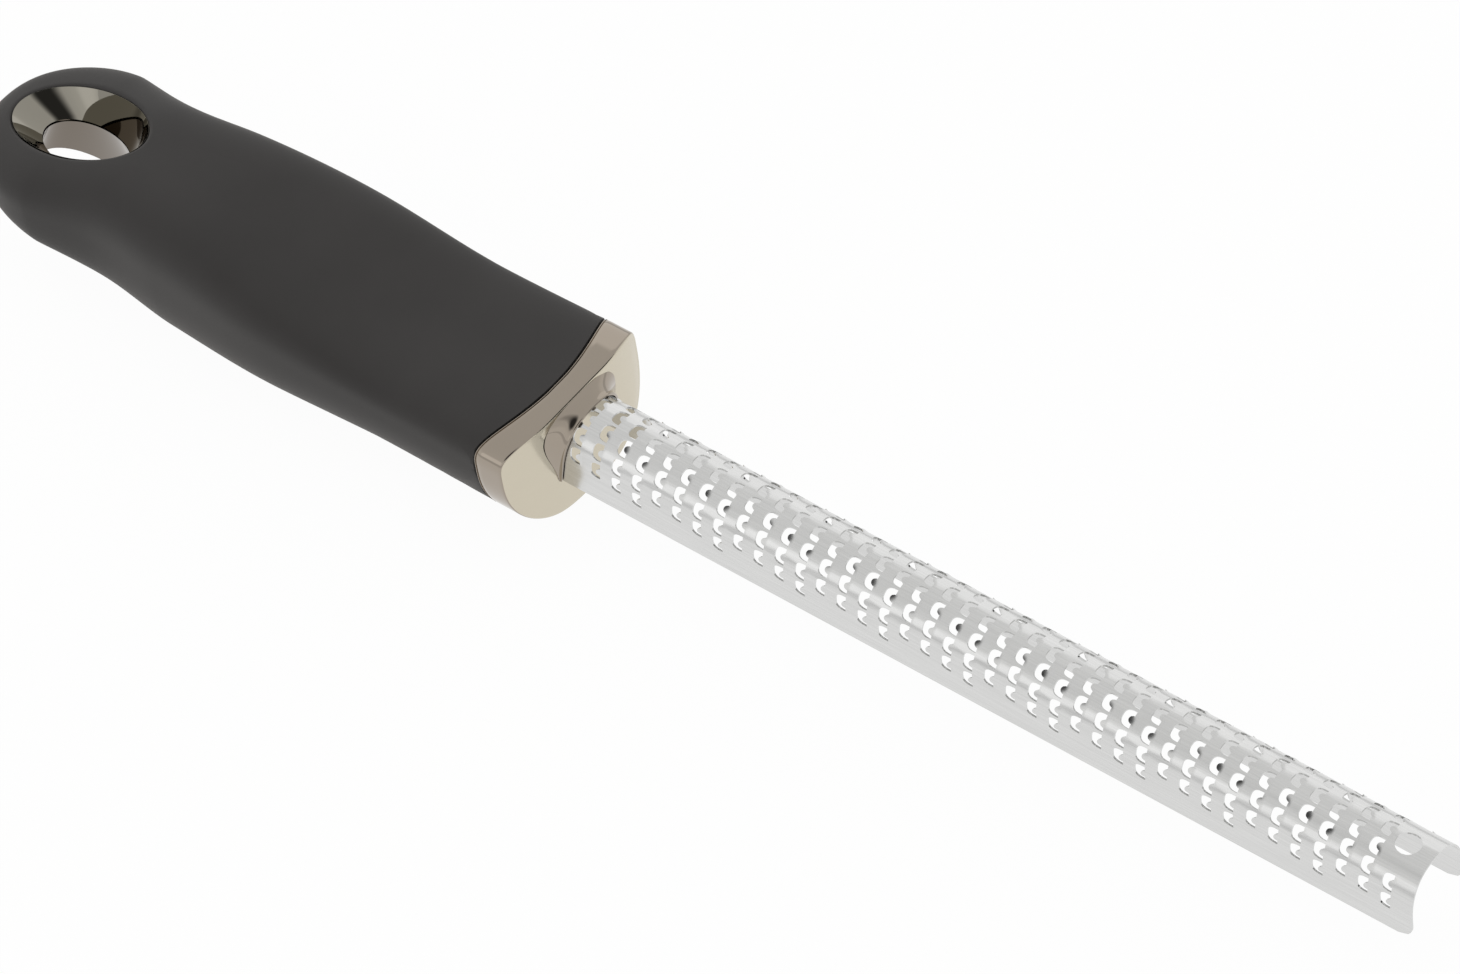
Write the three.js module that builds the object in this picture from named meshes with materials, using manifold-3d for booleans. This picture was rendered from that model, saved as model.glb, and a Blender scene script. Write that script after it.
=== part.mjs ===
import * as THREE from 'three';
import { mergeGeometries, mergeVertices } from 'three/addons/utils/BufferGeometryUtils.js';
import loadManifold from 'manifold-3d';

// Spice grater: an etched steel blade, bent to an arch that is open underneath, in a hand grip
// with a plated bolster at the front and a plated hanging eye at the tail.
// Millimetres. +X runs from the handle to the blade's tip and +Z is up. The origin is on the
// bolster's front face, in the middle plane and level with the blade's two lower edges.

// Blade
const bladeWidth = 12.35;
const bladeHeight = 11.95;
const flankHeight = 3.7;
const archSquareness = 2.4;
const sheetThickness = 0.45;
const bladeReach = 152.4;
const tipCornerRadius = 2.5;
const tipHoleDiameter = 3.9;
const tipHoleSetback = 4.45;
const tangLength = 30;
const tangHeight = 6;

// Cutting pattern: rows across the blade, each row shifted by a share of the tooth pitch
const firstRowReach = 3.35;
const rowPitch = 3.8;
const lastRowSetback = 4.1;
const toothPitch = 3.23;
const rowsPerRepeat = 4;
const lowestToothArc = 10.45;
const openingHeelWidth = 1.4;
const openingToeWidth = 2.7;
const openingLength = 1.15;
const tipHoleMargin = 1.6;

// Handle: shapes of the whole hand piece, each as distances behind the bolster's face
const tailCentreSetback = 98;
const tailReach = 18.5;
const halfWidthStations = [[98, 14.9], [85, 13.2], [72, 14.4], [49, 16.05], [26, 15.7], [4, 15.9]];
const widestLevelStations = [[118, 8], [98, 8.1], [75, 7.6], [40, 7.1], [0, 7.1]];
const topStations = [
  [118, 11.6], [110, 12.8], [97, 15.8], [84, 18.3], [72, 18.6], [49, 15.9], [26, 12.7], [4, 13.2],
];
const undersideStations = [[118, 3.2], [98, -2.8], [72, -8.6], [38, -7.7], [4, -7.7]];
const topSquarenessStations = [[90, 3.3], [30, 4.3]];
const undersideSquarenessStations = [[90, 3.4], [30, 2.4]];
const tailEdgeSquareness = 5;

// Shell, bolster and clearances
const gripWall = 1.8;
const seamSetback = 4.2;
const seamSweep = 3.4;
const faceFlatWidth = 11;
const faceSweep = 2;
const frontWall = 3;
const bladeSeatDepth = 1;
const collarWall = 0.6;
const collarReachAtEdges = 0.8;
const collarLean = 0.2;
const collarFlare = 6.4;
const fitGap = 0.3;

// Core halves and the pins that lock the tang
const coreSplitLevel = 3;
const pinDiameter = 3;
const pinLength = 17;
const frontPinSetback = 11;
const pinSpacing = 12;

// Hanging eye: an oval funnel in two halves that meet at a waist
const eyeTailMargin = 5.45;
const eyeRimLength = 26.4;
const eyeRimWidth = 14.6;
const eyeWaistLength = 16.4;
const eyeWaistWidth = 9.1;
const eyeWaistDepth = 5.7;
const eyeLowLength = 24;
const eyeLowWidth = 12.4;
const eyeWall = 1.2;
const eyeRecess = 0.1;

// Facets: the outside of the hand piece is finer than the hidden cavity and core
const outsideFacets = { around: 36, tailRings: 7, bodyRings: 13 };
const insideFacets = { around: 24, tailRings: 5, bodyRings: 8 };
const archFacets = 10;
const eyeFacets = 32;
const sweepFacets = 8;
const rodFacets = 20;
const tipCornerFacets = 5;
const tailTipShare = 0.7;

// Fineness of the measured arch, and the distance within which two corners count as one
const archSamples = 400;
const weldDistance = 1e-4;

const wasm = await loadManifold();
wasm.setup();

function solidFrom(geometry) {
  const bare = geometry.clone();
  bare.deleteAttribute('normal');
  bare.deleteAttribute('uv');
  const welded = mergeVertices(bare, weldDistance);
  const vertProperties = Float32Array.from(welded.attributes.position.array);
  const triVerts = Uint32Array.from(welded.index.array);
  return new wasm.Manifold(new wasm.Mesh({ numProp: 3, vertProperties, triVerts }));
}

function geometryFrom(solid) {
  const mesh = solid.getMesh();
  const geometry = new THREE.BufferGeometry();
  geometry.setAttribute('position', new THREE.BufferAttribute(mesh.vertProperties.slice(), 3));
  geometry.setIndex(new THREE.BufferAttribute(mesh.triVerts.slice(), 1));
  geometry.computeVertexNormals();
  return geometry;
}

// A smooth curve through the stations that never swings past them; x falls as the setback grows.
function smoothThrough(stations) {
  const points = stations.map(([setback, value]) => [-setback, value]);
  const slopes = [];
  for (let i = 0; i + 1 < points.length; i += 1) {
    slopes.push((points[i + 1][1] - points[i][1]) / (points[i + 1][0] - points[i][0]));
  }
  const tangents = points.map((point, i) => {
    const before = slopes[Math.max(0, i - 1)];
    const after = slopes[Math.min(slopes.length - 1, i)];
    return before * after > 0 ? 2 * before * after / (before + after) : 0;
  });
  return (x) => {
    const last = points.length - 1;
    if (x <= points[0][0]) return points[0][1];
    if (x >= points[last][0]) return points[last][1];
    const i = points.findIndex((point) => point[0] > x) - 1;
    const span = points[i + 1][0] - points[i][0];
    const t = (x - points[i][0]) / span;
    const rise = points[i + 1][1] - points[i][1];
    const ease = t * t * (3 - 2 * t);
    const lead = t * (1 - t) * (1 - t) * tangents[i] - t * t * (1 - t) * tangents[i + 1];
    return points[i][1] + rise * ease + span * lead;
  };
}

const halfWidthAt = smoothThrough(halfWidthStations);
const widestLevelAt = smoothThrough(widestLevelStations);
const topAt = smoothThrough(topStations);
const undersideAt = smoothThrough(undersideStations);
const topSquarenessAt = smoothThrough(topSquarenessStations);
const undersideSquarenessAt = smoothThrough(undersideSquarenessStations);

function signedPower(value, exponent) {
  return Math.sign(value) * Math.abs(value) ** exponent;
}

// One cross-section of the hand piece: a superellipse that is flatter on top than below,
// drawn in by the inset, and narrowed to a round end past the tail's centre.
function handleSection(x, inset, around) {
  const past = Math.min(1, Math.max(0, (-tailCentreSetback - x) / (tailReach - inset)));
  const width = (halfWidthAt(Math.max(x, -tailCentreSetback)) - inset) * Math.sqrt(1 - past ** 2);
  const thinning = Math.sqrt(1 - past ** tailEdgeSquareness);
  const level = widestLevelAt(x);
  const crown = (topAt(x) - level - inset) * thinning;
  const depth = (level - undersideAt(x) - inset) * thinning;
  const ring = [];
  for (let i = 0; i < around; i += 1) {
    const angle = 2 * Math.PI * i / around;
    const above = Math.sin(angle) > 0;
    const power = 2 / (above ? topSquarenessAt(x) : undersideSquarenessAt(x));
    const y = width * signedPower(Math.cos(angle), power);
    const z = level + (above ? crown : depth) * signedPower(Math.sin(angle), power);
    ring.push(new THREE.Vector3(x, y, z));
  }
  return ring;
}

// A closed skin over rings that run counter-clockwise about the loft's direction.
function loft(rings) {
  const count = rings[0].length;
  const points = rings.flat();
  const index = [];
  for (let r = 0; r + 1 < rings.length; r += 1) {
    for (let i = 0; i < count; i += 1) {
      const a = r * count + i;
      const b = r * count + (i + 1) % count;
      index.push(a, b, a + count, b, b + count, a + count);
    }
  }
  const lastStart = points.length - count;
  const backCentre = points.length;
  const frontCentre = points.length + 1;
  points.push(centreOf(rings[0]), centreOf(rings[rings.length - 1]));
  for (let i = 0; i < count; i += 1) {
    const next = (i + 1) % count;
    index.push(backCentre, next, i);
    index.push(frontCentre, lastStart + i, lastStart + next);
  }
  return new THREE.BufferGeometry().setFromPoints(points).setIndex(index);
}

function centreOf(ring) {
  const sum = ring.reduce((total, point) => total.add(point), new THREE.Vector3());
  return sum.divideScalar(ring.length);
}

function handleBody(inset, frontX, facets) {
  const rings = [];
  const reach = tailReach - inset;
  for (let i = 1; i <= facets.tailRings; i += 1) {
    const angle = (Math.PI / 2) * (i - tailTipShare) / (facets.tailRings - tailTipShare);
    rings.push(handleSection(-tailCentreSetback - reach * Math.cos(angle), inset, facets.around));
  }
  const span = frontX + tailCentreSetback;
  for (let i = 1; i <= facets.bodyRings; i += 1) {
    const x = -tailCentreSetback + span * i / facets.bodyRings;
    rings.push(handleSection(x, inset, facets.around));
  }
  return solidFrom(loft(rings));
}

function block(low, high) {
  const size = new THREE.Vector3().subVectors(high, low);
  const middle = new THREE.Vector3().addVectors(low, high).multiplyScalar(0.5);
  const box = new THREE.BoxGeometry(size.x, size.y, size.z);
  return solidFrom(box.translate(middle.x, middle.y, middle.z));
}

const roomAround = 2 * (bladeReach + tailCentreSetback + tailReach);

// Everything behind a plan curve that is flat in the middle and sweeps back towards the sides.
function behindSweep(setback, flatWidth, sweep) {
  const flat = flatWidth / 2;
  const sideWidth = halfWidthAt(0);
  const edge = 2 * sideWidth;
  const drop = sweep * ((edge - flat) / (sideWidth - flat)) ** 2;
  const shape = new THREE.Shape();
  shape.moveTo(-roomAround, -edge);
  shape.lineTo(-setback - drop, -edge);
  shape.quadraticCurveTo(-setback, -(edge + flat) / 2, -setback, -flat);
  shape.lineTo(-setback, flat);
  shape.quadraticCurveTo(-setback, (edge + flat) / 2, -setback - drop, edge);
  shape.lineTo(-roomAround, edge);
  shape.closePath();
  const height = 4 * bladeHeight + 4 * sideWidth;
  const options = { depth: height, bevelEnabled: false, curveSegments: sweepFacets };
  return solidFrom(new THREE.ExtrudeGeometry(shape, options).translate(0, 0, -height / 2));
}

// The blade's arch from its left lower edge over the crest to its right one, grown by an offset.
function archOutline(offset, foot) {
  const half = bladeWidth / 2 + offset;
  const rise = bladeHeight - flankHeight + offset;
  const points = [new THREE.Vector2(half, foot)];
  for (let i = 0; i <= archFacets; i += 1) {
    const angle = Math.PI * i / archFacets;
    const y = half * signedPower(Math.cos(angle), 2 / archSquareness);
    const z = flankHeight + rise * signedPower(Math.sin(angle), 2 / archSquareness);
    points.push(new THREE.Vector2(y, z));
  }
  points.push(new THREE.Vector2(-half, foot));
  return points;
}

// Shapes drawn in Y and Z, extruded along X.
function alongX(outline, fromX, toX) {
  const shape = new THREE.Shape(outline);
  const geometry = new THREE.ExtrudeGeometry(shape, { depth: toX - fromX, bevelEnabled: false });
  const turn = new THREE.Matrix4().makeBasis(
    new THREE.Vector3(0, 1, 0), new THREE.Vector3(0, 0, 1), new THREE.Vector3(1, 0, 0));
  return solidFrom(geometry.applyMatrix4(turn).translate(fromX, 0, 0));
}

function filledArch(offset, foot, fromX, toX) {
  return alongX(archOutline(offset, foot), fromX, toX);
}

// Points down one side of the arch, each with its distance from the crest along the sheet.
const archTrack = (() => {
  const half = bladeWidth / 2;
  const rise = bladeHeight - flankHeight;
  const points = [];
  let run = 0;
  for (let i = 0; i <= archSamples; i += 1) {
    const angle = (Math.PI / 2) * i / archSamples;
    const y = half * Math.sin(angle) ** (2 / archSquareness);
    const z = flankHeight + rise * Math.cos(angle) ** (2 / archSquareness);
    if (i > 0) run += Math.hypot(y - points[i - 1].y, z - points[i - 1].z);
    points.push({ run, y, z });
  }
  points.push({ run: run + flankHeight, y: half, z: 0 });
  return points;
})();

// Place and directions on the sheet at a distance from the crest, positive towards -Y.
function archFrame(arc) {
  const distance = Math.abs(arc);
  const side = arc > 0 ? -1 : 1;
  const i = Math.max(1, archTrack.findIndex((point) => point.run >= distance));
  const from = archTrack[i - 1];
  const to = archTrack[i];
  const t = (distance - from.run) / (to.run - from.run);
  const place = new THREE.Vector3(0, side * (from.y + t * (to.y - from.y)), from.z + t * (to.z - from.z));
  const down = new THREE.Vector3(0, side * (to.y - from.y), to.z - from.z).normalize();
  const across = arc > 0 ? down : down.negate();
  const along = new THREE.Vector3(1, 0, 0);
  return { place, along, across, outward: new THREE.Vector3().crossVectors(along, across) };
}

const tipHoleX = bladeReach - tipHoleSetback;
const rowCount = Math.floor((bladeReach - lastRowSetback - firstRowReach) / rowPitch) + 1;

// One opening is a trapezium that widens towards the tip, where the tooth's edge faces the handle.
function toothOpenings() {
  const heel = openingHeelWidth / 2;
  const toe = openingToeWidth / 2;
  const shape = new THREE.Shape([
    new THREE.Vector2(-openingLength / 2, -heel),
    new THREE.Vector2(openingLength / 2, -toe),
    new THREE.Vector2(openingLength / 2, toe),
    new THREE.Vector2(-openingLength / 2, heel),
  ]);
  const depth = 4 * sheetThickness;
  const cutters = [];
  const step = toothPitch / rowsPerRepeat;
  const keepClear = tipHoleDiameter / 2 + tipHoleMargin;
  for (let row = 0; row < rowCount; row += 1) {
    const x = firstRowReach + row * rowPitch;
    const start = rowsPerRepeat - 1 - row % rowsPerRepeat;
    for (let arc = lowestToothArc - start * step; arc >= -lowestToothArc; arc -= toothPitch) {
      if (Math.hypot(x - tipHoleX, arc) < keepClear) continue;
      const frame = archFrame(arc);
      const cutter = new THREE.ExtrudeGeometry(shape, { depth, bevelEnabled: false });
      cutter.translate(0, 0, -depth / 2 - sheetThickness / 2);
      cutter.applyMatrix4(new THREE.Matrix4().makeBasis(frame.along, frame.across, frame.outward));
      cutters.push(cutter.translate(x, frame.place.y, frame.place.z));
    }
  }
  return solidFrom(mergeGeometries(cutters));
}

// The rounded lower corner at the tip, as the piece that is cut off both flanks.
function tipCorners() {
  const corner = new THREE.Shape();
  corner.moveTo(bladeReach - tipCornerRadius, 0);
  corner.absarc(bladeReach - tipCornerRadius, tipCornerRadius, tipCornerRadius, -Math.PI / 2, 0, false);
  corner.lineTo(bladeReach + fitGap, tipCornerRadius);
  corner.lineTo(bladeReach + fitGap, -fitGap);
  corner.lineTo(bladeReach - tipCornerRadius, -fitGap);
  corner.closePath();
  const depth = 2 * bladeWidth;
  const options = { depth, bevelEnabled: false, curveSegments: tipCornerFacets };
  const cut = new THREE.ExtrudeGeometry(corner, options);
  return solidFrom(cut.rotateX(Math.PI / 2).translate(0, bladeWidth, 0));
}

function upright(diameter, x, lowZ, highZ) {
  const tube = new THREE.CylinderGeometry(diameter / 2, diameter / 2, highZ - lowZ, rodFacets);
  return solidFrom(tube.rotateX(Math.PI / 2).translate(x, 0, (lowZ + highZ) / 2));
}

function crosswise(diameter, length, x, z) {
  const rod = new THREE.CylinderGeometry(diameter / 2, diameter / 2, length, rodFacets);
  return rod.translate(x, 0, z);
}

const pinPlaces = [-frontPinSetback, -frontPinSetback - pinSpacing];

function makeBlade() {
  const outer = filledArch(0, 0, -tangLength, bladeReach);
  const hollow = filledArch(-sheetThickness, -fitGap, -tangLength - fitGap, bladeReach + fitGap);
  const behindArch = block(
    new THREE.Vector3(-tangLength - fitGap, -bladeWidth, tangHeight),
    new THREE.Vector3(fitGap - bladeSeatDepth, bladeWidth, 2 * bladeHeight));
  let blade = outer.subtract(hollow).subtract(behindArch).subtract(tipCorners());
  blade = blade.subtract(upright(tipHoleDiameter, tipHoleX, flankHeight, 2 * bladeHeight));
  for (const x of pinPlaces) {
    blade = blade.subtract(solidFrom(crosswise(pinDiameter + 2 * fitGap, 2 * bladeWidth, x, coreSplitLevel)));
  }
  return geometryFrom(blade.subtract(toothOpenings()));
}

// The space that the sheet's arch takes up from one place along X on, with clearance all round.
function sheetSpace(fromX) {
  const outer = filledArch(fitGap, -fitGap, fromX, bladeReach);
  return outer.subtract(filledArch(-sheetThickness - fitGap, -2 * fitGap, -roomAround, roomAround));
}

// The slots that the tang's two tabs pass through.
function tangSlots() {
  const above = block(
    new THREE.Vector3(-roomAround, -bladeWidth, tangHeight + fitGap),
    new THREE.Vector3(roomAround, bladeWidth, 2 * bladeHeight));
  return sheetSpace(-tangLength - fitGap).subtract(above);
}

// One ring of the collar around the blade's arch: it flares more the higher it is on the arch,
// and stays just under the top of the hand piece.
function collarRing(flareShare, reachAt) {
  const highest = topAt(0) - fitGap;
  return archOutline(0, 0).map((bare, i) => {
    const flare = flareShare * collarFlare * (bare.y / bladeHeight) ** 2;
    const grown = archOutline(fitGap + collarWall + flare, 0)[i];
    return new THREE.Vector3(reachAt(bare.y), grown.x, Math.min(grown.y, highest));
  });
}

// The collar hugs the blade's root: it leaves the face in a flare, narrows to a thin front edge,
// and reaches further out at the crest than at the edges.
function collar() {
  const room = frontWall / 2;
  const body = solidFrom(loft([
    collarRing(1, () => -room),
    collarRing(1, () => 0),
    collarRing(0, (height) => collarReachAtEdges + collarLean * height),
  ]));
  return body.subtract(filledArch(fitGap, -fitGap, -2 * room, bladeReach));
}

const cavity = handleBody(gripWall, -frontWall, insideFacets);

function makeBolster(handle) {
  const behindFace = behindSweep(0, faceFlatWidth, faceSweep);
  const behindSeam = behindSweep(seamSetback - fitGap, 0, seamSweep);
  const cap = handle.intersect(behindFace).subtract(behindSeam).subtract(cavity);
  return geometryFrom(cap.add(collar()).subtract(tangSlots()).subtract(sheetSpace(-bladeSeatDepth)));
}

// The hanging eye's place, and the planes and ovals of its two rims and its waist.
const eyeReach = eyeRimLength / 2;
const eyeX = eyeTailMargin + eyeReach - tailCentreSetback - tailReach;

function planeThrough(heightAt, drop) {
  const front = heightAt(eyeX + eyeReach) + drop;
  const back = heightAt(eyeX - eyeReach) + drop;
  return (x) => back + (front - back) * (x - eyeX + eyeReach) / (2 * eyeReach);
}

const topRimPlane = planeThrough(topAt, -eyeRecess);
const lowRimPlane = planeThrough(undersideAt, eyeRecess);
const waistLevel = topRimPlane(eyeX) - eyeWaistDepth;
const rimOval = { length: eyeRimLength, width: eyeRimWidth };
const waistOval = { length: eyeWaistLength, width: eyeWaistWidth };
const lowOval = { length: eyeLowLength, width: eyeLowWidth };

function ovalPoint(oval, grow, plane, angle) {
  const x = eyeX + (oval.length / 2 + grow) * Math.cos(angle);
  const y = (oval.width / 2 + grow) * Math.sin(angle);
  return new THREE.Vector3(x, y, plane(x));
}

function ovalRing(oval, grow, plane) {
  const ring = [];
  for (let i = 0; i < eyeFacets; i += 1) {
    ring.push(ovalPoint(oval, grow, plane, 2 * Math.PI * i / eyeFacets));
  }
  return ring;
}

// A funnel between two ovals: an outer and an inner wall that are joined along both rims.
function funnel(bottomOval, bottomPlane, topOval, topPlane) {
  const rings = [
    ovalRing(bottomOval, eyeWall, bottomPlane),
    ovalRing(topOval, eyeWall, topPlane),
    ovalRing(topOval, 0, topPlane),
    ovalRing(bottomOval, 0, bottomPlane),
  ];
  const index = [];
  for (let r = 0; r < rings.length; r += 1) {
    const from = r * eyeFacets;
    const to = ((r + 1) % rings.length) * eyeFacets;
    for (let i = 0; i < eyeFacets; i += 1) {
      const next = (i + 1) % eyeFacets;
      index.push(from + i, from + next, to + i, from + next, to + next, to + i);
    }
  }
  return new THREE.BufferGeometry().setFromPoints(rings.flat()).setIndex(index);
}

const levelPlane = (z) => () => z;

function eyeHole() {
  const grow = eyeWall + fitGap;
  return solidFrom(loft([
    ovalRing(lowOval, grow, levelPlane(-roomAround)),
    ovalRing(lowOval, grow, lowRimPlane),
    ovalRing(waistOval, grow, levelPlane(waistLevel)),
    ovalRing(rimOval, grow, topRimPlane),
    ovalRing(rimOval, grow, levelPlane(roomAround)),
  ]));
}

function makeGrip(handle) {
  const behindSeam = behindSweep(seamSetback, 0, seamSweep);
  return geometryFrom(handle.intersect(behindSeam).subtract(cavity).subtract(eyeHole()));
}

function makeCoreHalves() {
  let core = handleBody(gripWall + fitGap, -frontWall - fitGap, insideFacets);
  core = core.subtract(eyeHole()).subtract(tangSlots());
  for (const x of pinPlaces) {
    const bore = crosswise(pinDiameter + fitGap, pinLength + 2 * fitGap, x, coreSplitLevel);
    core = core.subtract(solidFrom(bore));
  }
  const halfGap = fitGap / 2;
  const above = block(
    new THREE.Vector3(-roomAround, -roomAround, coreSplitLevel + halfGap),
    new THREE.Vector3(roomAround, roomAround, roomAround));
  const below = block(
    new THREE.Vector3(-roomAround, -roomAround, -roomAround),
    new THREE.Vector3(roomAround, roomAround, coreSplitLevel - halfGap));
  return [geometryFrom(core.intersect(above)), geometryFrom(core.intersect(below))];
}

const steel = new THREE.MeshStandardMaterial({ color: 0xcfcfce, roughness: 0.3, metalness: 1 });
const blackChrome = new THREE.MeshStandardMaterial({ color: 0xb5a596, roughness: 0.08, metalness: 1 });
const softBlack = new THREE.MeshStandardMaterial({ color: 0x403e3e, roughness: 0.65, metalness: 0 });
const corePlastic = new THREE.MeshStandardMaterial({ color: 0x26262a, roughness: 0.5, metalness: 0 });

function piece(name, geometry, material) {
  const mesh = new THREE.Mesh(geometry, material);
  mesh.name = name;
  return mesh;
}

const handle = handleBody(0, fitGap, outsideFacets);
const [coreUpper, coreLower] = makeCoreHalves();
const eyeUpper = funnel(waistOval, levelPlane(waistLevel), rimOval, topRimPlane);
const eyeLower = funnel(lowOval, lowRimPlane, waistOval, levelPlane(waistLevel - fitGap));

const grater = new THREE.Group();
grater.add(piece('grater_blade', makeBlade(), steel));
grater.add(piece('front_bolster', makeBolster(handle), blackChrome));
grater.add(piece('soft_grip', makeGrip(handle), softBlack));
grater.add(piece('handle_core_upper', coreUpper, corePlastic));
grater.add(piece('handle_core_lower', coreLower, corePlastic));
grater.add(piece('hang_eye_upper', eyeUpper, blackChrome));
grater.add(piece('hang_eye_lower', eyeLower, blackChrome));
grater.add(piece('tang_pin_front', crosswise(pinDiameter, pinLength, pinPlaces[0], coreSplitLevel), steel));
grater.add(piece('tang_pin_rear', crosswise(pinDiameter, pinLength, pinPlaces[1], coreSplitLevel), steel));

export default grater;
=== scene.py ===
"""Looks of a spice grater: an arched, etched blade in a soft grip with plated trim.

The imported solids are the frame. The blade, the bolster, the grip and the hanging eye are drawn
again as fine surfaces in the same place, in millimetres turned to metres at the mesh.
"""

import logging
import math
from dataclasses import dataclass
from enum import Enum

import bpy
import numpy as np
from mathutils import Matrix, Vector

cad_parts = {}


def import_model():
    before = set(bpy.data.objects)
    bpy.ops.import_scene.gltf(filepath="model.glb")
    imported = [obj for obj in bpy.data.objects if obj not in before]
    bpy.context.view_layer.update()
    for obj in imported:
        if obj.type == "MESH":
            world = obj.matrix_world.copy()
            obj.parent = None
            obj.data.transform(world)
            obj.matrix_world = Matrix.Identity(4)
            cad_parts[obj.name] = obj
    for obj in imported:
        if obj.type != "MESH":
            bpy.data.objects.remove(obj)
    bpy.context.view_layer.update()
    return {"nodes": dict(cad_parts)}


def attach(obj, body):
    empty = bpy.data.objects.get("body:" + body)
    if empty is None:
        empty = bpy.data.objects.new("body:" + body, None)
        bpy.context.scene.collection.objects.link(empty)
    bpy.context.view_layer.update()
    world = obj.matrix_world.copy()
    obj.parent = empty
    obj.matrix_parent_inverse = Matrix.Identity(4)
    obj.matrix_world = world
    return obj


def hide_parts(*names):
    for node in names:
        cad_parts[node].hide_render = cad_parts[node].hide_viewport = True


LOG = logging.getLogger("spice_grater")
MM = 0.001
TINY = 1e-6
GRAIN_DEPTH_MM = 0.1
WHITE = (1, 1, 1, 1)
# The sockets of a colour mix go by number, because their names repeat.
MIX_FROM, MIX_TO, MIX_RESULT = 6, 7, 2
Array = np.ndarray
Material = bpy.types.Material
Socket = bpy.types.NodeSocket
Pair = tuple[float, float]
Triple = tuple[float, float, float]
Colour = tuple[float, float, float, float]
Floats = tuple[float, ...]
Stops = tuple[tuple[float, Colour], ...]


def linear(hex_colour: str) -> Colour:
    """Turn an sRGB hex colour into linear light.

    Args:
        hex_colour: six hex digits with a leading hash.

    Returns:
        Linear red, green, blue and an alpha of one.
    """
    values = np.array([int(hex_colour[i : i + 2], 16) for i in (1, 3, 5)]) / 255
    low = values / 12.92
    high = ((values + 0.055) / 1.055) ** 2.4
    return (*(float(v) for v in np.where(values <= 0.04045, low, high)), 1.0)


def set_inputs(tree, node, inputs: dict) -> None:
    """Set a node's input sockets.

    Args:
        tree: the node tree.
        node: the node.
        inputs: socket name or number to a value, or to an output socket that is linked.
    """
    for name, value in inputs.items():
        if isinstance(value, Socket):
            tree.links.new(value, node.inputs[name])
        else:
            node.inputs[name].default_value = value


def add_node(tree, kind: str, inputs: dict | None = None, **settings):
    """Add one shader node.

    Args:
        tree: the node tree.
        kind: the node's type name without its leading "ShaderNode".
        inputs: what its input sockets get, as in set_inputs.
        settings: attributes set on the node.

    Returns:
        The new node.
    """
    node = tree.nodes.new("ShaderNode" + kind)
    for name, value in settings.items():
        setattr(node, name, value)
    set_inputs(tree, node, inputs or {})
    return node


def add_ramp(tree, share: Socket, stops: Stops) -> Socket:
    """Add a colour ramp.

    Args:
        tree: the node tree.
        share: the socket that picks the place on the ramp.
        stops: positions and linear colours in rising order, two or more.

    Returns:
        The ramp's colour.
    """
    node = add_node(tree, "ValToRGB", {"Fac": share})
    elements = node.color_ramp.elements
    for position, _ in stops[1:-1]:
        elements.new(position)
    for element, (position, colour) in zip(elements, stops):
        element.position = position
        element.color = colour
    return node.outputs["Color"]


def add_noise(tree, size_mm: float, detail: float = 2.0, scale: Triple = (1, 1, 1)) -> Socket:
    """Add noise over the object, with patches of about a size, and give its value; a scale
    below one draws it out along that axis."""
    place = add_node(tree, "TexCoord").outputs["Object"]
    drawn = add_node(tree, "Mapping", {"Vector": place, "Scale": scale}).outputs["Vector"]
    inputs = {"Vector": drawn, "Scale": 1 / (size_mm * MM), "Detail": detail}
    return add_node(tree, "TexNoise", inputs).outputs["Fac"]


def add_range(tree, share: Socket, low: float, high: float) -> Socket:
    """Spread a share from none to one over a range and give the result."""
    inputs = {"Value": share, "To Min": low, "To Max": high}
    return add_node(tree, "MapRange", inputs).outputs["Result"]


def add_bump(tree, height: Socket, strength: float) -> Socket:
    """Add a moulded grain of the usual depth and give its normal."""
    inputs = {"Height": height, "Strength": strength, "Distance": GRAIN_DEPTH_MM * MM}
    return add_node(tree, "Bump", inputs).outputs["Normal"]


def new_material(name: str) -> tuple:
    """Start a node material.

    Args:
        name: the material's name.

    Returns:
        The material, its node tree and its main shader.
    """
    material = bpy.data.materials.new(name)
    material.use_nodes = True
    return material, material.node_tree, material.node_tree.nodes["Principled BSDF"]


class NodeFinish:
    """A finish whose main shader is fed by nodes; each kind says what its inputs get."""

    name: str

    def build(self) -> Material:
        """Make the material."""
        material, tree, shader = new_material(self.name)
        set_inputs(tree, shader, self.inputs(tree))
        return material


@dataclass(frozen=True)
class SoftTouch(NodeFinish):
    """Soft-touch elastomer, moulded over the core: a matt charcoal with a pale grazing sheen."""

    name: str = "soft_touch_elastomer"
    colour: str = "#2d2b2a"
    dusty: str = "#333130"
    dark_below: float = 0.3
    dusty_above: float = 0.75
    roughness: Pair = (0.55, 0.66)
    grain_mm: float = 0.35
    grain_strength: float = 0.12
    cloud_mm: float = 14.0
    cloud_detail: float = 3.0
    sheen: float = 0.16
    sheen_roughness: float = 0.3
    sheen_tint: str = "#efe6dc"
    specular: float = 0.35

    def inputs(self, tree) -> dict:
        """Give fine moulded grain to the bump and slow clouds to colour and gloss."""
        cloud = add_noise(tree, self.cloud_mm, self.cloud_detail)
        stops = ((self.dark_below, linear(self.colour)), (self.dusty_above, linear(self.dusty)))
        return {
            "Base Color": add_ramp(tree, cloud, stops),
            "Roughness": add_range(tree, cloud, *self.roughness),
            "Normal": add_bump(tree, add_noise(tree, self.grain_mm), self.grain_strength),
            "Sheen Weight": self.sheen,
            "Sheen Roughness": self.sheen_roughness,
            "Sheen Tint": linear(self.sheen_tint),
            "Specular IOR Level": self.specular}


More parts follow.
